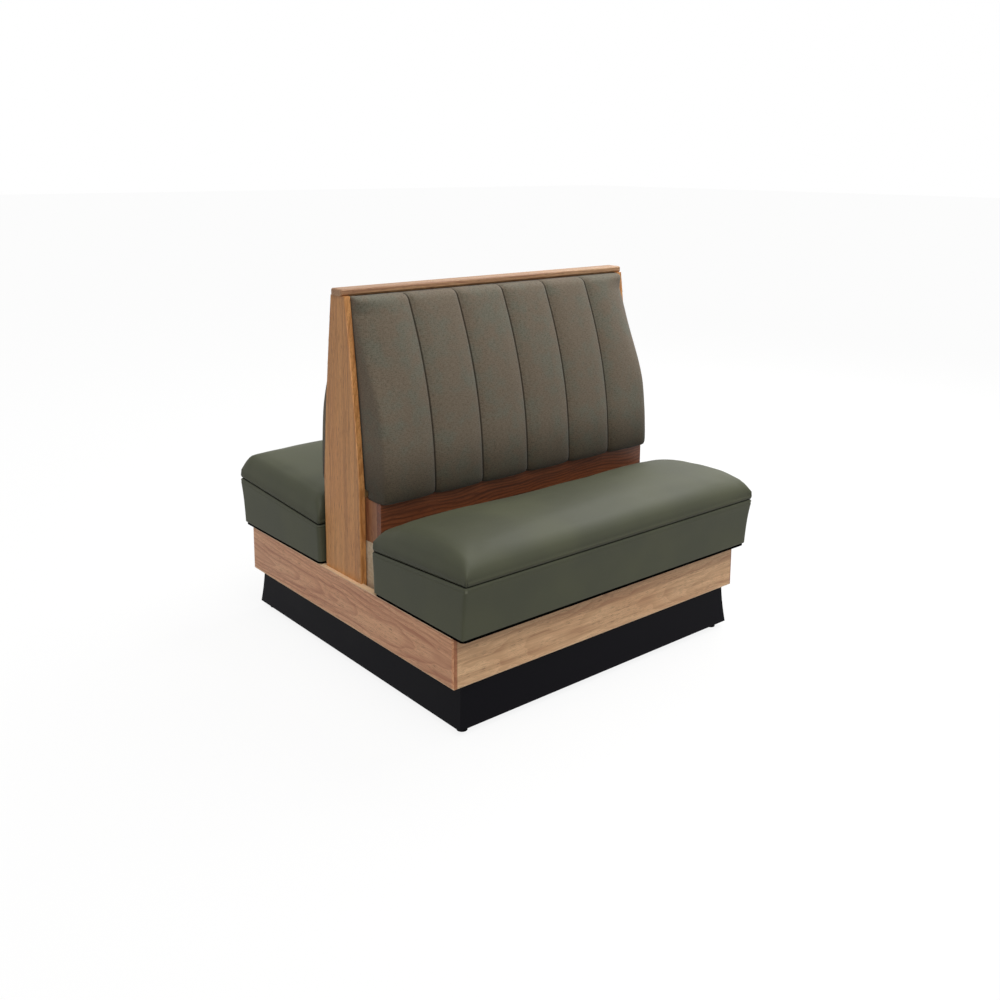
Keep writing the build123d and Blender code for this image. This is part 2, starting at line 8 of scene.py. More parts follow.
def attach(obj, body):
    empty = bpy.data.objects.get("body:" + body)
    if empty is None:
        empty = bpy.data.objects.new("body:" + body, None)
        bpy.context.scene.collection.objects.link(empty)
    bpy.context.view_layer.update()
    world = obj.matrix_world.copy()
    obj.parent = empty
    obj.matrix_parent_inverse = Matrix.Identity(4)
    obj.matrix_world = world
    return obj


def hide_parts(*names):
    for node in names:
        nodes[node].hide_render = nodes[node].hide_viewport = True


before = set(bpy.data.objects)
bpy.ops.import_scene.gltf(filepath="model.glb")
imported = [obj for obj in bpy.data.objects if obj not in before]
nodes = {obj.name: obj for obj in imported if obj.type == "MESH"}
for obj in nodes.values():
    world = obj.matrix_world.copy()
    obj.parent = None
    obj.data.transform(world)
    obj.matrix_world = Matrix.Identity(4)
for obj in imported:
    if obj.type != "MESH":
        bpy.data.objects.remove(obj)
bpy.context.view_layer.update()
print("frame loaded:", len(nodes), "nodes")


def tint(code):
    # a colour written as six hex digits, as a linear colour
    parts = [int(code[i : i + 2], 16) / 255 for i in (0, 2, 4)]
    linear = [p / 12.92 if p <= 0.04045 else ((p + 0.055) / 1.055) ** 2.4 for p in parts]
    return (*linear, 1.0)


class Wire:
    # one socket of a material, so that shader maths reads as plain sums
    def __init__(self, finish, socket):
        self.finish = finish
        self.socket = socket

    def sum(self, operation, *values):
        return self.finish.add("ShaderNodeMath", {"operation": operation}, dict(enumerate(values)))

    def __add__(self, other):
        return self.sum("ADD", self, other)

    def __radd__(self, other):
        return self.sum("ADD", other, self)

    def __sub__(self, other):
        return self.sum("SUBTRACT", self, other)

    def __rsub__(self, other):
        return self.sum("SUBTRACT", other, self)

    def __mul__(self, other):
        return self.sum("MULTIPLY", self, other)

    def __rmul__(self, other):
        return self.sum("MULTIPLY", other, self)

    def __truediv__(self, other):
        return self.sum("DIVIDE", self, other)

    def __rtruediv__(self, other):
        return self.sum("DIVIDE", other, self)

    def larger(self, other):
        return self.sum("MAXIMUM", self, other)

    def clamped(self):
        return self.finish.add("ShaderNodeClamp", {}, {0: self})

    def sine(self):
        return self.sum("SINE", self)

    def fraction(self):
        return self.sum("FRACT", self)

    def absolute(self):
        return self.sum("ABSOLUTE", self)

    def root(self):
        return self.sum("SQRT", self)

    def over(self, low, high):
        # 0 below low, 1 above high, smooth between
        settings = {"interpolation_type": "SMOOTHSTEP"}
        return self.finish.add("ShaderNodeMapRange", settings, {0: self, 1: low, 2: high})


class Finish:
    # a material, or the world, and the nodes in it
    def __init__(self, name, kind=bpy.data.materials):
        self.owner = kind.new(name)
        self.owner.use_nodes = True
        self.tree = self.owner.node_tree
        self.tree.nodes.clear()

    def add(self, kind, settings=None, inputs=None, output=0):
        node = self.tree.nodes.new(kind)
        for key, value in (settings or {}).items():
            setattr(node, key, value)
        for key, value in (inputs or {}).items():
            socket = node.inputs[key]
            if isinstance(value, Wire):
                self.tree.links.new(value.socket, socket)
            else:
                socket.default_value = value
        return Wire(self, node.outputs[output]) if node.outputs else None

    def here(self):
        return self.add("ShaderNodeTexCoord", output="Object")

    def apart(self, vector):
        first = self.add("ShaderNodeSeparateXYZ", {}, {0: vector})
        return [Wire(self, part) for part in first.socket.node.outputs]

    def together(self, x, y, z):
        return self.add("ShaderNodeCombineXYZ", {}, {0: x, 1: y, 2: z})

    def noise(self, where, scale, detail=2.0, rough=0.5):
        inputs = {"Vector": where, "Scale": scale, "Detail": detail, "Roughness": rough}
        return self.add("ShaderNodeTexNoise", {}, inputs)

    def cells(self, where, scale):
        return self.add("ShaderNodeTexVoronoi", {"feature": "F1"}, {"Vector": where, "Scale": scale})

    def grained(self, along):
        # places along the grain, across it and into the board
        x, y, z = self.apart(self.here())
        return {"X": (x, z, y), "Y": (y, z, x), "Z": (z, y, x)}[along]

    def grainNoise(self, axes, lengthScale, crossScale, detail, rough, shift=0.0):
        # noise drawn out along the grain
        u, v, w = axes
        deep = w * crossScale
        if shift:
            deep = deep + shift
        return self.noise(self.together(u * lengthScale, v * crossScale, deep), 1.0, detail, rough)

    def mix(self, share, first, second):
        settings = {"data_type": "RGBA"}
        return self.add("ShaderNodeMix", settings, {0: share, 6: first, 7: second}, output=2)

    def darken(self, colour, share, by):
        settings = {"data_type": "RGBA", "blend_type": "MULTIPLY"}
        return self.add("ShaderNodeMix", settings, {0: share, 6: colour, 7: by}, output=2)

    def bump(self, height, distance, strength):
        inputs = {"Height": height, "Distance": distance, "Strength": strength}
        return self.add("ShaderNodeBump", {}, inputs)

    def surface(self, **inputs):
        names = {key.replace("_", " "): value for key, value in inputs.items()}
        shader = self.add("ShaderNodeBsdfPrincipled", {}, names)
        self.add("ShaderNodeOutputMaterial", {}, {"Surface": shader})
        return self.owner


# Oak: growth rings cut by the board's face, pores along the grain, and slow drifts of colour.
# along is the grain's axis; heart is where the log's centre lies from the board, in metres,
# and cone how fast the log tapers, which draws the pointed figure on a flat-sawn face.
# The heights given for a board's top and bottom edges get a painted highlight along them; band is where
# its mitred ends begin.
def oak(name, along, heart, light, dark, pore, ringWidth, cone, contrast, edgeHighlightHeights=None, band=None):
    finish = Finish(name)
    axes = finish.grained(along)
    u, v, w = axes
    bend = finish.grainNoise(axes, 2.6, 7.0, 2.0, 0.45) - 0.5
    sway = finish.grainNoise(axes, 5.5, 11.0, 2.0, 0.5, 4.0) - 0.5
    ripple = finish.grainNoise(axes, 13.0, 75.0, 3.0, 0.55) - 0.5
    across = v - heart[1] + bend * 0.055
    deep = w - heart[2] + (u - heart[0]) * cone + sway * 0.030
    reach = (across * across + deep * deep).root() + ripple * 0.0030
    uneven = finish.noise(finish.together(reach * 55.0, 0.0, 0.0), 1.0, 2.0, 0.6) - 0.5
    ring = ((reach + uneven * 0.010) / ringWidth).fraction()
    late = ring.over(0.30, 0.90) * (1.0 - ring.over(0.90, 1.0))  # the darker wood of each year
    fibre = finish.grainNoise(axes, 16.0, 620.0, 3.0, 0.62)
    dash = finish.grainNoise(axes, 42.0, 1150.0, 1.0, 0.5)
    pores = dash.over(0.56, 0.70) * (1.0 - ring.over(0.30, 0.75))
    streak = finish.grainNoise(axes, 1.6, 60.0, 4.0, 0.65)
    shade = (late * contrast + fibre.over(0.32, 0.72) * 0.24 + streak.over(0.38, 0.66) * 0.50).clamped()
    base = finish.mix(shade, tint(light), tint(dark))
    patch = finish.grainNoise(axes, 3.0, 12.0, 2.0, 0.5)
    base = finish.darken(base, patch.over(0.38, 0.75) * 0.22, tint("dcae8c"))
    base = finish.darken(base, pores * 0.70, tint(pore))
    fleck = finish.grainNoise(axes, 34.0, 300.0, 2.0, 0.5, 7.0)
    cluster = finish.grainNoise(axes, 5.0, 14.0, 2.0, 0.5, 9.0)
    flecks = fleck.over(0.58, 0.72) * cluster.over(0.42, 0.62)
    base = finish.darken(base, flecks * 0.55, tint("a07a58"))
    if edgeHighlightHeights:
        low, high = edgeHighlightHeights
        # painted highlight in a thin strip along the board's top and bottom edges
        paintedEdgeHighlight = 1.0 - (v - low).over(0.0020, 0.0060) * (high - v).over(0.0010, 0.0040)
        base = finish.mix(paintedEdgeHighlight * 0.75, base, tint("f0d2aa"))
    if band:
        atMitre = u.absolute().over(band, band + 0.0015)
        base = finish.darken(base, atMitre * 0.85, tint("b98a72"))
    height = 1.0 - pores * 0.8 - late * 0.12 + fibre * 0.2
    rough = 0.44 + pores * 0.2 + fibre * 0.08
    return finish.surface(Base_Color=base, Roughness=rough, Normal=finish.bump(height, 0.00030, 0.6))


def laminate(name, colour, scuff, shine):
    finish = Finish(name)
    here = finish.here()
    grain = finish.noise(here, 420.0, 2.0, 0.6)
    dust = finish.noise(here, 9.0, 4.0, 0.6)
    base = finish.mix(dust.over(0.45, 0.8) * 0.5, tint(colour), tint(scuff))
    rough = 0.46 + grain * 0.12 + dust * 0.1
    bumps = finish.bump(grain, 0.0003, 0.25)
    return finish.surface(Base_Color=base, Roughness=rough, Normal=bumps, Specular_IOR_Level=shine)


def zinc(name):
    finish = Finish(name)
    here = finish.here()
    spangle = finish.cells(here, 300.0)
    tone = finish.noise(here, 90.0, 3.0, 0.6)
    colour = finish.mix(tone.over(0.3, 0.7), tint("8f9092"), tint("b4b4b0"))
    rough = 0.34 + spangle * 0.2
    bumps = finish.bump(tone, 0.0002, 0.3)
    return finish.surface(Base_Color=colour, Metallic=1.0, Roughness=rough, Normal=bumps)


def board(name, along, light, dark):
    # plain sawn timber and plywood inside the booth
    finish = Finish(name)
    axes = finish.grained(along)
    stripe = finish.grainNoise(axes, 3.0, 90.0, 4.0, 0.6)
    fine = finish.grainNoise(axes, 30.0, 900.0, 2.0, 0.6)
    colour = finish.mix((stripe * 0.8 + fine * 0.3).over(0.35, 0.75), tint(light), tint(dark))
    bumps = finish.bump(fine, 0.0003, 0.4)
    return finish.surface(Base_Color=colour, Roughness=0.6 + fine * 0.2, Normal=bumps)


skirtEdgeHighlightHeights = (0.133, 0.268)
panelOak = {
    "light": "e2a362", "dark": "ae743e", "pore": "5c3a20",
    "ringWidth": 0.0055, "cone": 0.02, "contrast": 0.60,
}
capOak = {
    "light": "c29a70", "dark": "8f6344", "pore": "5a3c26",
    "ringWidth": 0.006, "cone": 0.02, "contrast": 0.5,
}
longSkirtOak = {
    "light": "eec496", "dark": "b0805a", "pore": "70502f",
    "ringWidth": 0.008, "cone": 0.035, "contrast": 0.34, "edgeHighlightHeights": skirtEdgeHighlightHeights, "band": 0.5215,
}
endSkirtOak = {
    "light": "f0ba8e", "dark": "b2714e", "pore": "6a4230",
    "ringWidth": 0.0105, "cone": 0.055, "contrast": 0.50, "edgeHighlightHeights": skirtEdgeHighlightHeights,
}
# The rail's oak is much darker than the rest: painted shade for the shadow the pad casts on the rail.
railOakShaded = {
    "light": "8c4f2d", "dark": "4f2612", "pore": "34190c",
    "ringWidth": 0.007, "cone": 0.02, "contrast": 0.6,
}
blockOak = {
    "light": "a06c48", "dark": "7a4a2e", "pore": "4a2a18",
    "ringWidth": 0.006, "cone": 0.02, "contrast": 0.4,
}
oakBoards = {  # the way of the grain, the log's centre and the wood of each board
    "end_panel_left": ("oak_end_left", "Z", (0.3, 0.16, -0.60), panelOak),
    "end_panel_right": ("oak_end_right", "Z", (0.5, -0.17, 0.61), panelOak),
    "top_cap": ("oak_cap", "X", (0.2, 1.14, 0.05), capOak),
    "skirt_board_front": ("oak_skirt_front", "X", (0.35, 0.175, -0.43), longSkirtOak),
    "skirt_board_rear": ("oak_skirt_rear", "X", (-0.2, 0.18, 0.44), longSkirtOak),
    "skirt_board_left": ("oak_skirt_left", "Y", (0.15, 0.19, -0.50), endSkirtOak),
    "skirt_board_right": ("oak_skirt_right", "Y", (-0.2, 0.2, 0.50), endSkirtOak),
    "back_rail_front": ("oak_rail_front", "X", (0.3, 0.36, -0.06), railOakShaded),
    "back_rail_blocks": ("oak_rail_blocks", "Z", (0.0, -0.3, 0.45), blockOak),
    "back_rail_rear": ("oak_rail_rear", "X", (-0.3, 0.36, 0.06), railOakShaded),
}
looks = {}
for piece, (name, along, heart, wood) in oakBoards.items():
    looks[piece] = oak(name, along, heart, **wood)
timberX = board("timber_x", "X", "c7a878", "a5824f")
timberY = board("timber_y", "Y", "c7a878", "a5824f")
timberZ = board("timber_z", "Z", "c7a878", "a5824f")
plyX = board("plywood_x", "X", "dccdb4", "c0ab8c")
kickBlack = laminate("kick_laminate", "06050a", "0b0a10", 0.07)
# near black without shine for the seats' base boards: the black dust cover underneath, and painted shade
# for the dark line under each seat box
seatBlack = laminate("seat_base_black", "040404", "070707", 0.0)
steel = zinc("zinc_plate")
finishRules = (  # how a name starts or ends, and its finish; the first rule that fits holds
    (("kick_board", "glide_front", "glide_rear"), (), kickBlack),
    ((), ("base_board",), seatBlack),
    (("glide",), ("screws",), steel),
    (("pad_board", "seat_back_b"), ("deck", "front_board", "rear_board"), plyX),
    (("back_rib",), (), timberZ),
    (("base_side_rail", "base_centre", "kick_cross"), ("_rib", "end_boards"), timberY),
    (("",), (), timberX),
)


def finishFor(name):
    if name in looks:
        return looks[name]
    for starts, ends, finish in finishRules:
        if name.startswith(starts) or name.endswith(ends):
            return finish


for name, node in nodes.items():
    node.data.materials.clear()
    node.data.materials.append(finishFor(name))
print("materials made:", len(bpy.data.materials))


cubeFace = 0.999  # a point of gridBlock further out than this lies on one of its faces


def gridBlock(cutsX, cutsY, cutsZ):
    # a cube from -1 to 1 whose edges are cut evenly along each axis
    bm = bmesh.new()
    bmesh.ops.create_cube(bm, size=2.0)
    for axis, cuts in enumerate((cutsX, cutsY, cutsZ)):
        spans = {edge: abs((edge.verts[0].co - edge.verts[1].co)[axis]) for edge in bm.edges}
        longest = max(spans.values())
        edges = [edge for edge, span in spans.items() if span > longest * 0.9]
        bmesh.ops.subdivide_edges(bm, edges=edges, cuts=cuts, use_grid_fill=True)
    return bm


def finished(bm, name, finish, body, replaced, turn):
    # makes the piece that shows in place of a solid; the rear one is turned round to face the other way
    mesh = bpy.data.meshes.new(name)
    if turn:
        bmesh.ops.rotate(bm, verts=bm.verts, cent=(0, 0, 0), matrix=Matrix.Rotation(turn, 3, "Z"))
    bm.to_mesh(mesh)
    bm.free()
    for face in mesh.polygons:
        face.use_smooth = True
    piece = bpy.data.objects.new(name, mesh)
    bpy.context.scene.collection.objects.link(piece)
    mesh.materials.append(finish)
    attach(piece, body)
    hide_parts(replaced)
    return piece


# Stuffing: cloth under pressure, stepped from its first frame to its last
stuffing = {
    "frames": 14,
    "pressure": 4.0,
    "mass": 0.3,
    "stiffness": 30.0,
    "bending": 1.0,
    "quality": 4,
    "evening": 6,  # passes that even out the moves of neighbours
}


def stuffed(piece, held, growth, cap):
    # fills a cover; the held points stay, growth is the slack of the cloth and cap how far it may move
    points = piece.data.vertices
    start = [point.co.copy() for point in points]
    sewn = piece.vertex_groups.new(name="sewn")
    sewn.add([i for i, place in enumerate(start) if held(place)], 1.0, "REPLACE")
    cloth = piece.modifiers.new("stuffing", "CLOTH")
    settings = cloth.settings
    settings.quality = stuffing["quality"]
    settings.mass = stuffing["mass"]
    settings.use_pressure = True
    settings.uniform_pressure_force = stuffing["pressure"]
    settings.vertex_group_mass = "sewn"
    settings.shrink_min = -growth
    settings.tension_stiffness = stuffing["stiffness"]
    settings.compression_stiffness = stuffing["stiffness"]
    settings.bending_stiffness = stuffing["bending"]
    settings.effector_weights.gravity = 0.0
    cloth.point_cache.frame_end = stuffing["frames"]
    for number in range(1, stuffing["frames"] + 1):
        bpy.context.scene.frame_set(number)
    shape = piece.evaluated_get(bpy.context.evaluated_depsgraph_get()).to_mesh()
    ends = [point.co.copy() for point in shape.vertices]
    piece.modifiers.remove(cloth)
    moves = [last - first for first, last in zip(start, ends)]
    print("stuffed", piece.name, "furthest move", round(max(move.length for move in moves), 4))
    moves = [move * (cap * math.tanh(move.length / cap) / max(move.length, 1e-9)) for move in moves]
    moves = evened(piece, moves, [not held(place) for place in start])
    for point, first, move in zip(points, start, moves):
        point.co = first + move
    bpy.context.scene.frame_set(1)


def evened(piece, moves, free):
    edges = [tuple(edge.vertices) for edge in piece.data.edges]
    for _ in range(stuffing["evening"]):
        total = [move.copy() for move in moves]
        count = [1] * len(moves)
        for a, b in edges:
            total[a] += moves[b]
            total[b] += moves[a]
            count[a] += 1
            count[b] += 1
        moves = [total[i] / count[i] if free[i] else moves[i] for i in range(len(moves))]
    return moves


def closer(share, crowd):
    # moves even steps toward both ends, where the shape bends most
    return share * (1 - crowd) + crowd * (3 * share - share**3) / 2


def roll(distance, reach):
    # a quarter round that starts upright and is level at reach
    share = min(max(distance / reach, 0.0), 1.0)
    return math.sqrt(1 - (1 - share) ** 2)


def dome(distance, reach):
    share = min(max(distance / reach, 0.0), 1.0)
    return 1 - (1 - share) ** 2


def fullness(distance, steepness, rollReach, domeReach):
    # the height of a stuffed edge, from a quick round and a long dome
    return steepness * roll(distance, rollReach) + (1 - steepness) * dome(distance, domeReach)


def rounded(x, y, halfX, halfY, frontRadius, rearRadius):
    # pulls a square corner of the plan onto a round one; the front is at +Y here
    radius = frontRadius if y > 0 else rearRadius
    innerX = min(max(x, radius - halfX), halfX - radius)
    innerY = min(max(y, radius - halfY), halfY - radius)
    offX, offY = x - innerX, y - innerY
    far = math.hypot(offX, offY)
    if far > 1e-9:
        keep = max(abs(offX), abs(offY)) / far
        x, y = innerX + offX * keep, innerY + offY * keep
    return x, y


# Seat: the seam between apron and cushion tilts down toward the back
seat = {
    "halfLength": 0.537,
    "front": 0.572,
    "rear": {"front": 0.172, "rear": 0.0995},  # how near each seat comes to the middle of the booth
    "cornerRadius": 0.010,
    "rearRadius": 0.004,
    # seam
    "seamFront": 0.416,
    "seamSlope": 0.0631,
    "seamGap": 0.0004,
    "tuck": 0.0065,
    "dartOff": 0.0045,
    "dartRise": 0.020,
    "dartReach": 0.016,
    # cushion
    "cushionCuts": (120, 52, 9),
    "cushionCrowd": (0.55, 0.5),  # how far its rows crowd toward the ends and toward front and back
    "swell": 0.004,
    "frontSwell": 0.006,
    "widest": 0.020,
    "crown": 0.070,
    "endRoll": 0.82,
    "endReach": (0.028, 0.26),  # of the quick round and of the long dome
    "frontRoll": {"front": 0.53, "rear": 0.90},
    "frontReach": (0.040, 0.19),
    "unevenness": 0.0016,
    "unevenScale": (5.0, 6.0),
    "unevenSlice": 3.0,
    "unevenLift": 0.4,
    "fill": {"sewnBelow": 0.010, "growth": 0.006, "cap": 0.006},
    # apron
    "apronCuts": (110, 46, 44),
    "apronCrowd": (0.5, 0.4),
    "bottom": 0.2762,
    "bottomFront": 0.559,
    "brimFront": 0.575,
    "brimHeight": 0.93,
    "bellyShare": 0.55,
    "rowCrowd": 0.22,
    "brimRoll": 0.008,
    "stitchDrop": 0.0105,
    "stitchDepth": 0.0016,
    "stitchWidth": 0.0014,
    "padding": 0.009,
}


# Vinyl with a fine pebble, a dark seam with painted shade in its groove and above it, two short darts
# where the cover turns each front corner, and a painted highlight below the seam at those corners
def vinyl(name, base, high):
    finish = Finish(name)
    here = finish.here()
    x, y, z = finish.apart(here)
    sideways = x.absolute() - (seat["halfLength"] + seat["swell"])
    forward = y.absolute() - (seat["front"] + seat["frontSwell"])
    turn = (sideways - forward).absolute()  # grows away from the corner's edge, on both faces
    away = ((sideways * sideways) + (forward * forward)).root()
    bend = (z * 900.0).sine() * 0.0006
    near = 1.0 - away.over(seat["dartReach"], seat["dartReach"] + 0.006)
    line = (1.0 - (turn + bend - seat["dartOff"]).absolute().over(0.0005, 0.0018)) * near
    level = z - seat["seamFront"]
    dart = line * level.over(-0.001, 0.001) * (seat["dartRise"] - level).over(0.0, 0.010)
    # a painted highlight just below the seam where the cover turns each front corner
    paintedCornerHighlight = (1.0 - turn.over(0.002, 0.006)) * near * (1.0 - (level + 0.010).absolute().over(0.001, 0.005))
    overSeam = level + (seat["front"] - y.absolute()) * seat["seamSlope"]
    # the seam line, darkened for the seam itself and as painted shade in its groove
    thread = 1.0 - overSeam.absolute().over(0.0008, 0.0024)
    # painted shade in a band just above the seam
    paintedSeamShade = (1.0 - overSeam.over(0.006, 0.036)) * overSeam.over(0.0, 0.002)
    grain = finish.cells(here, 560.0)
    pebble = finish.noise(here, 240.0, 3.0, 0.6)
    cloud = finish.noise(here, 5.0, 2.0, 0.5)
    colour = finish.mix(cloud.over(0.3, 0.7), tint(base), tint(high))
    colour = finish.darken(colour, grain.over(0.0, 0.5) * 0.10, tint("a2a296"))
    colour = finish.darken(colour, paintedSeamShade * 0.6, tint("c4c4ba"))
    colour = finish.darken(colour, dart * 0.8, tint("4c4a3c"))
    colour = finish.darken(colour, thread * 0.9, tint("2c2c22"))
    colour = finish.mix(paintedCornerHighlight * 0.35, colour, tint("9a9a88"))
    height = grain * 0.6 + pebble * 0.4 - dart * 3.0
    rough = 0.52 + pebble * 0.10 + cloud * 0.06
    bumps = finish.bump(height, 0.0004, 0.30)
    return finish.surface(Base_Color=colour, Roughness=rough, Normal=bumps, Specular_IOR_Level=0.28)


seatVinyl = vinyl("seat_vinyl", "474939", "4f513e")


def seamHeight(y):
    return seat["seamFront"] - seat["seamSlope"] * (seat["front"] - y)


def makeCushion(side):
    halfX = seat["halfLength"] + seat["swell"]
    front, rear = seat["front"] + seat["frontSwell"], seat["rear"][side]
    halfY = (front - rear) / 2
    middle = (front + rear) / 2
    scaleX, scaleY = seat["unevenScale"]
    bm = gridBlock(*seat["cushionCuts"])
    for vert in bm.verts:
        u, v, w = vert.co
        x = closer(u, seat["cushionCrowd"][0]) * halfX
        y = closer(v, seat["cushionCrowd"][1]) * halfY
        onWall = max(abs(u), abs(v)) > cubeFace
        x, y = rounded(x, y, halfX, halfY, seat["cornerRadius"], seat["rearRadius"])
        if onWall and w < cubeFace:
            rise = (w + 1) / 2
            inward = seat["tuck"] * (1 - roll(rise, 1.0))
            x -= math.copysign(inward, x) if abs(u) > cubeFace else 0
            y -= math.copysign(inward, y) if abs(v) > cubeFace else 0
            up = rise * seat["widest"]
        elif w > cubeFace:
            offX, offY = halfX - abs(x), halfY - abs(y)
            overX = fullness(offX, seat["endRoll"], *seat["endReach"])
            overY = fullness(offY, seat["frontRoll"][side], *seat["frontReach"])
            up = seat["widest"] + seat["crown"] * overX * overY
            place = Vector((x * scaleX, y * scaleY, seat["unevenSlice"]))
            uneven = noise.noise(place) + seat["unevenLift"]
            up += seat["unevenness"] * uneven * min(overX, overY)
        else:
            up = 0.0
            x *= 1 - seat["tuck"] / halfX
            y *= 1 - seat["tuck"] / halfY
        depth = middle - y
        vert.co = Vector((x, -depth, seamHeight(depth) + seat["seamGap"] + up))
    return bm


def makeApron(side):
    rear = seat["rear"][side]
    tall = seat["seamFront"] - seat["bottom"]
    bm = gridBlock(*seat["apronCuts"])
    caps = [f for f in bm.faces if all(abs(abs(v.co.z) - 1) < 1e-6 for v in f.verts)]
    bmesh.ops.delete(bm, geom=caps, context="FACES")
    for vert in bm.verts:
        u, v, w = vert.co
        rise = (w + 1) / 2
        # rows crowd up under the seam
        rise = min(rise + seat["rowCrowd"] * math.sin(math.pi * rise) * rise, 1.0)
        brim = min(rise / seat["brimHeight"], 1.0)
        wide = seat["bellyShare"] * brim + (1 - seat["bellyShare"]) * brim**3
        halfX = seat["halfLength"] + seat["swell"] * wide
        front = seat["bottomFront"] + (seat["brimFront"] - seat["bottomFront"]) * wide
        below = (1 - rise) * tall
        tuck = seat["tuck"] * (1 - roll(below, seat["brimRoll"]))
        fromStitch = (below - seat["stitchDrop"]) / seat["stitchWidth"]
        groove = seat["stitchDepth"] * math.exp(-(fromStitch**2))
        inward = tuck + groove
        halfY = (front - rear) / 2
        x = closer(u, seat["apronCrowd"][0]) * halfX
        y = closer(v, seat["apronCrowd"][1]) * halfY
        x, y = rounded(x, y, halfX, halfY, seat["cornerRadius"], seat["rearRadius"])
        x -= math.copysign(inward, x) if abs(u) > cubeFace else 0
        y -= math.copysign(inward, y) if abs(v) > cubeFace else 0
        depth = (front + rear) / 2 - y
        top = seamHeight(depth) - seat["seamGap"]
        vert.co = Vector((x, -depth, seat["bottom"] + (top - seat["bottom"]) * rise))
    return bm


def cushionHeld(place):
    return place.z < seamHeight(abs(place.y)) + seat["fill"]["sewnBelow"]


sides = {"front": 0.0, "rear": math.pi}
for side, turn in sides.items():
    body = f"{side}_seat"
    solid = f"{body}_cushion"
    cushion = finished(makeCushion(side), f"{solid}_cover", seatVinyl, body, solid, turn)
    stuffed(cushion, cushionHeld, seat["fill"]["growth"], seat["fill"]["cap"])
    solid = f"{body}_apron"
    apron = finished(makeApron(side), f"{solid}_cover", seatVinyl, body, solid, turn)
    wall = apron.modifiers.new("padding", "SOLIDIFY")
    wall.thickness = seat["padding"]
    wall.offset = -1
print("seats made")


# Back pad: six sewn channels over foam that bellies out low down and rolls over at the top
pad = {
    "halfLength": 0.498,
    "bottom": 0.507,
    "top": 1.0465,
    "gridCuts": (24, 9, 84),  # columns in each channel, cuts through the pad, and cuts up it
    "rowCrowd": 0.45,
    # profile
    "bulgeHeight": 0.531,
    "reach": {"front": 0.188, "rear": 0.148},
    "fall": 0.476,
    "crest": 1.029,
    "topReach": 0.040,
    "bottomRoll": 0.012,
    "leastThick": 0.006,
    "plump": 0.001,
    # back of the pad, on its board and on the rail
    "backLow": 0.074,
    "backSlope": 0.10425,
    "shoulder": 0.530,
    "railFace": 0.0985,
    # channels
    "channels": 6,
    "archDepth": 0.0065,
    "archPower": 2.6,
    "creaseDepth": 0.0085,
    "creaseWidth": 0.0038,
    "archFoam": 0.05,  # the foam has to be this thick for the whole arch
    "creaseFoam": 0.018,  # and this thick for the whole crease
    "pullWidth": 0.009,
    "pullUp": 0.0025,
    "pullDown": 0.0030,
    "pullPower": 40,
    # ends
    "edgeRoll": 0.024,
    "edgeDrop": 0.010,
    "edgeLeast": 0.3,  # share of it that is left at the pad's top
    "crestRise": 0.045,
    "endDrop": 0.026,
    "endReach": 0.12,
    "endDropFrom": 0.70,
    "endDropRise": 0.22,
    "endSwell": 0.0035,
    "fill": {"held": 0.004, "rim": 0.006, "growth": 0.010, "cap": 0.003},
}


# Tweed reads the weave attribute of each pad: metres across and along the cloth, and from the seam.
# Below the heights low to high the cloth is painted a little darker, as painted shade where the pad
# turns under.
def tweed(name, warm, cool, fleck, thread, low, high):
    finish = Finish(name)
    here = finish.add("ShaderNodeAttribute", {"attribute_name": "weave"}, output="Vector")
    a, b, seam = finish.apart(here)
    flat = finish.together(a, b, 0.0)
    pitch = 0.0021
    overUnder = (a / pitch * math.pi).sine() * (b / pitch * math.pi).sine()
    weft = (b / pitch * 2 * math.pi).sine() * 0.5 + 0.5
    warp = (a / pitch * 2 * math.pi).sine() * 0.5 + 0.5
    slub = finish.noise(finish.together(a * 110.0, b * 420.0, 0.0), 1.0, 2.0, 0.6)
    slubUp = finish.noise(finish.together(a * 420.0, b * 110.0, 3.0), 1.0, 2.0, 0.6)
    patch = finish.noise(flat, 22.0, 3.0, 0.6)
    broad = finish.noise(flat, 7.0, 2.0, 0.5)
    side = overUnder.over(-0.2, 0.2)
    yarn = slub * side + slubUp * (1.0 - side)
    colour = finish.mix((patch * 0.55 + broad * 0.5).over(0.46, 0.66), tint(warm), tint(cool))
    colour = finish.darken(colour, yarn.over(0.42, 0.66) * 0.60, tint(thread))
    colour = finish.mix(slubUp.over(0.60, 0.72) * 0.45, colour, tint(fleck))
    # painted shade toward the bottom of the pad
    colour = finish.darken(colour, 1.0 - b.over(low, high), tint("a09c90"))
    # darker along each sewn line: the stitching and painted shade in the crease
    colour = finish.darken(colour, (1.0 - seam.over(0.0012, 0.0040)) * 0.85, tint("5c5446"))
    height = weft * side + warp * (1.0 - side) + yarn * 0.5
    return finish.surface(
        Base_Color=colour,
        Roughness=0.92,
        Normal=finish.bump(height, 0.0006, 0.5),
        Sheen_Weight=0.12,
        Sheen_Roughness=0.5,
        Specular_IOR_Level=0.2,
    )


backTweed = tweed("back_tweed", "786c5c", "726f61", "948d7a", "8a857c", 0.50, 0.68)


def padReach(z, side):
    # how far the crowns of the channels stand from the middle of the booth
    low = pad["bulgeHeight"]
    out = pad["reach"]["front"] - pad["fall"] * max(z - low, 0) ** 2
    if z > pad["crest"]:
        share = min((z - pad["crest"]) / (pad["top"] - pad["crest"]), 1.0)
        out -= (out - pad["topReach"]) * (1 - math.sqrt(1 - share**2))
    elif z < low:
        share = min((low - z) / (low - pad["bottom"]), 1.0)
        out -= pad["bottomRoll"] * (1 - math.sqrt(1 - share**2))
    slimming = (pad["reach"][side] - pad["topReach"]) / (pad["reach"]["front"] - pad["topReach"])
    return pad["topReach"] + (out - pad["topReach"]) * slimming


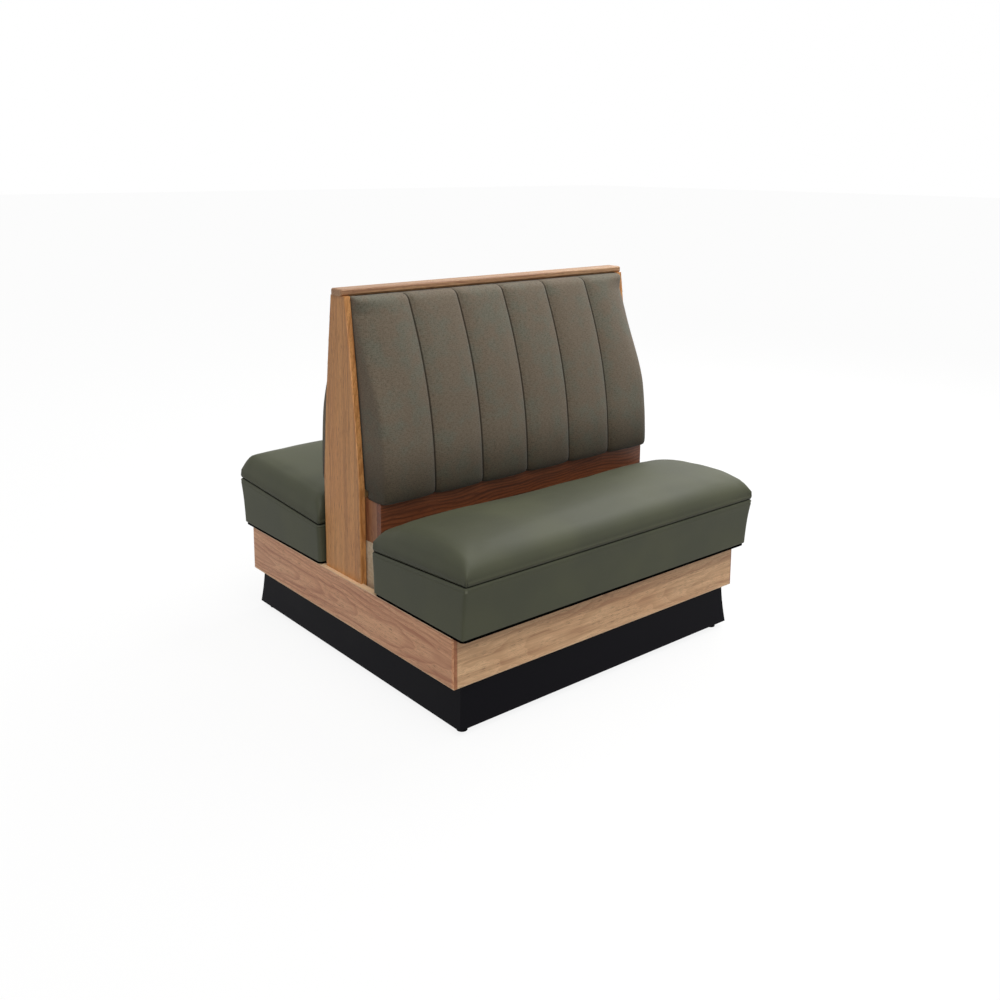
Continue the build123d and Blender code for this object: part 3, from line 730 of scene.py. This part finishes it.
def padBack(z):
    return pad["backLow"] - (z - pad["shoulder"]) * pad["backSlope"]


def seamDistance(x):
    # from the nearest sewn line, counted from the one in the middle
    width = 2 * pad["halfLength"] / pad["channels"]
    last = pad["channels"] // 2 - 1
    line = min(max(round(x / width), -last), last)
    return abs(x - line * width)


def channelDip(x, thick):
    # how far the cover sinks below the crowns at a place across the pad
    width = 2 * pad["halfLength"] / pad["channels"]
    off = min(seamDistance(x), width / 2)
    arch = pad["archDepth"] * (1 - 2 * off / width) ** pad["archPower"]
    crease = pad["creaseDepth"] * math.exp(-off / pad["creaseWidth"])
    arch *= min(1.0, thick / pad["archFoam"])
    crease *= min(1.0, thick / pad["creaseFoam"])
    return arch + crease


def endDip(z, end):
    # the ends of the pad fall away, most of all high up where the foam is thin
    high = min(max((z - pad["endDropFrom"]) / pad["endDropRise"], 0.0), 1.0)
    high = high * high * (3 - 2 * high)
    crest = min(max((pad["top"] - z) / pad["crestRise"], 0.0), 1.0)
    broad = pad["endDrop"] * high * crest * (1 - dome(end, pad["endReach"]))
    narrow = pad["edgeDrop"] * (pad["edgeLeast"] + (1 - pad["edgeLeast"]) * crest)
    return broad + narrow * (1 - roll(end, pad["edgeRoll"]))


def makePad(side):
    columns, cutsThrough, cutsUp = pad["gridCuts"]
    bm = gridBlock(pad["channels"] * columns - 1, cutsThrough, cutsUp)
    weave = bm.verts.layers.float_vector.new("weave")
    for vert in bm.verts:
        u, v, w = vert.co
        x = u * pad["halfLength"]
        rise = (closer(w, pad["rowCrowd"]) + 1) / 2
        z = pad["bottom"] + rise * (pad["top"] - pad["bottom"])
        back = padBack(z)
        thick = padReach(z, side) - back
        end = pad["halfLength"] - abs(x)
        sunk = endDip(z, end) + channelDip(x, thick)
        surface = max(thick + pad["plump"] - sunk, pad["leastThick"])
        forward = (1 - v) / 2  # 0 on the back plane, 1 on the front of the pad
        start = max(back, pad["railFace"]) if z < pad["shoulder"] else back
        depth = start + (back + surface - start) * forward
        sideways = 0.0
        if abs(u) > cubeFace:
            sideways = pad["endSwell"] * math.sin(math.pi * forward) * math.copysign(1, u)
        # the stitches draw the top edge down and the bottom edge up a little
        pull = math.exp(-seamDistance(x) / pad["pullWidth"]) * forward
        atBottom, atTop = (1 - rise) ** pad["pullPower"], rise ** pad["pullPower"]
        lift = pull * (pad["pullUp"] * atBottom - pad["pullDown"] * atTop)
        vert.co = Vector((x + sideways, -depth, z + lift))
        cloth = x + math.copysign((1 - forward) * surface, x)
        vert[weave] = Vector((cloth, z, seamDistance(x) if v < -cubeFace else 1.0))
    return bm


def padHeld(place):
    # the stitched lines, the ends, the rims and the board behind hold the cover
    near, rim = pad["fill"]["held"], pad["fill"]["rim"]
    onBoard = abs(place.y) < padBack(place.z) + near
    atRim = place.z < pad["bottom"] + rim or place.z > pad["top"] - rim
    atEnd = pad["halfLength"] - abs(place.x) < near
    return onBoard or atRim or atEnd or seamDistance(place.x) < near


for side, turn in sides.items():
    name, solid = f"back_pad_cover_{side}", f"back_pad_{side}"
    cover = finished(makePad(side), name, backTweed, "booth_frame", solid, turn)
    stuffed(cover, padHeld, pad["fill"]["growth"], pad["fill"]["cap"])
print("back pads made")


# Floor, light and camera
studio = {
    "floorSize": 80.0,
    "paperShare": 0.88,
    "worldStrength": 0.26,
    "sunFrom": (-0.22, -0.6, 1.2),
    "sunStrength": 1.9,
    "sunAngle": 60.0,
    "overPlace": (2.6, 0.2, 3.2),
    "overSize": 3.0,
    "overPower": 100.0,
    "fillPlace": (-3.2, -3.6, 1.9),
    "fillSize": 2.4,
    "fillPower": 9.0,
    "aim": (0, 0, 0.5),
}


def seenDirectly(finish):
    # 1 where the camera, a mirror or a window looks at the surface, 0 where it only lights others
    rays = ("Is Camera Ray", "Is Glossy Ray", "Is Transmission Ray")
    camera, mirror, window = [finish.add("ShaderNodeLightPath", output=ray) for ray in rays]
    return camera.larger(mirror).larger(window)


def makeFloor():
    bm = bmesh.new()
    bmesh.ops.create_grid(bm, x_segments=1, y_segments=1, size=studio["floorSize"] / 2)
    mesh = bpy.data.meshes.new("floor")
    bm.to_mesh(mesh)
    bm.free()
    floor = bpy.data.objects.new("floor", mesh)
    bpy.context.scene.collection.objects.link(floor)
    paper = Finish("floor_paper")
    seen = seenDirectly(paper)
    shade = paper.mix(seen, tint("a09f9d"), tint("fdfdfc"))
    matt = paper.add("ShaderNodeBsdfDiffuse", {}, {"Color": shade})
    bright = paper.add("ShaderNodeEmission", {}, {"Color": (1, 1, 1, 1), "Strength": 1.0})
    both = paper.add("ShaderNodeMixShader", {}, {0: seen * studio["paperShare"], 1: matt, 2: bright})
    paper.add("ShaderNodeOutputMaterial", {}, {"Surface": both})
    mesh.materials.append(paper.owner)


def makeWorld():
    room = Finish("studio", bpy.data.worlds)
    bpy.context.scene.world = room.owner
    limits = {0: seenDirectly(room), 3: studio["worldStrength"], 4: 1.0}
    strength = room.add("ShaderNodeMapRange", {}, limits)
    back = room.add("ShaderNodeBackground", {}, {"Color": (1, 1, 1, 1), "Strength": strength})
    room.add("ShaderNodeOutputWorld", {}, {"Surface": back})


def makeLamps():
    sun = bpy.data.objects.new("sun", bpy.data.lights.new("sun", "SUN"))
    sun.data.energy = studio["sunStrength"]
    sun.data.angle = math.radians(studio["sunAngle"])
    sun.rotation_euler = Vector(studio["sunFrom"]).to_track_quat("Z", "Y").to_euler()
    bpy.context.scene.collection.objects.link(sun)
    for name in ("over", "fill"):
        lamp = bpy.data.lights.new(name, "AREA")
        lamp.energy = studio[name + "Power"]
        lamp.size = studio[name + "Size"]
        holder = bpy.data.objects.new(name, lamp)
        holder.location = studio[name + "Place"]
        aim = Vector(studio["aim"]) - holder.location
        holder.rotation_euler = aim.to_track_quat("-Z", "Y").to_euler()
        bpy.context.scene.collection.objects.link(holder)


# Camera: back points from the booth to the lens, and lean turns the picture, in degrees
view = {
    "place": (-2.0027, -2.4476, 1.4077),
    "back": (-0.6304, -0.7549, 0.181),
    "lean": 0.31,
    "sensor": 36.0,
    "lens": 38.68,
    "shiftDown": 0.1438,
}


def makeCamera():
    back = Vector(view["back"]).normalized()
    level = Vector((0, 0, 1)).cross(back).normalized()
    upright = back.cross(level)
    lean = math.radians(view["lean"])
    right = level * math.cos(lean) + upright * math.sin(lean)
    up = upright * math.cos(lean) - level * math.sin(lean)
    data = bpy.data.cameras.new("camera")
    data.sensor_width = view["sensor"]
    data.lens = view["lens"]
    data.shift_y = -view["shiftDown"]
    camera = bpy.data.objects.new("camera", data)
    turned = Matrix((right, up, back)).transposed().to_4x4()
    camera.matrix_world = Matrix.Translation(view["place"]) @ turned
    bpy.context.scene.collection.objects.link(camera)
    bpy.context.scene.camera = camera


makeFloor()
makeWorld()
makeLamps()
makeCamera()
bpy.context.scene.view_settings.view_transform = "Standard"
bpy.context.view_layer.update()
print("scene ready")
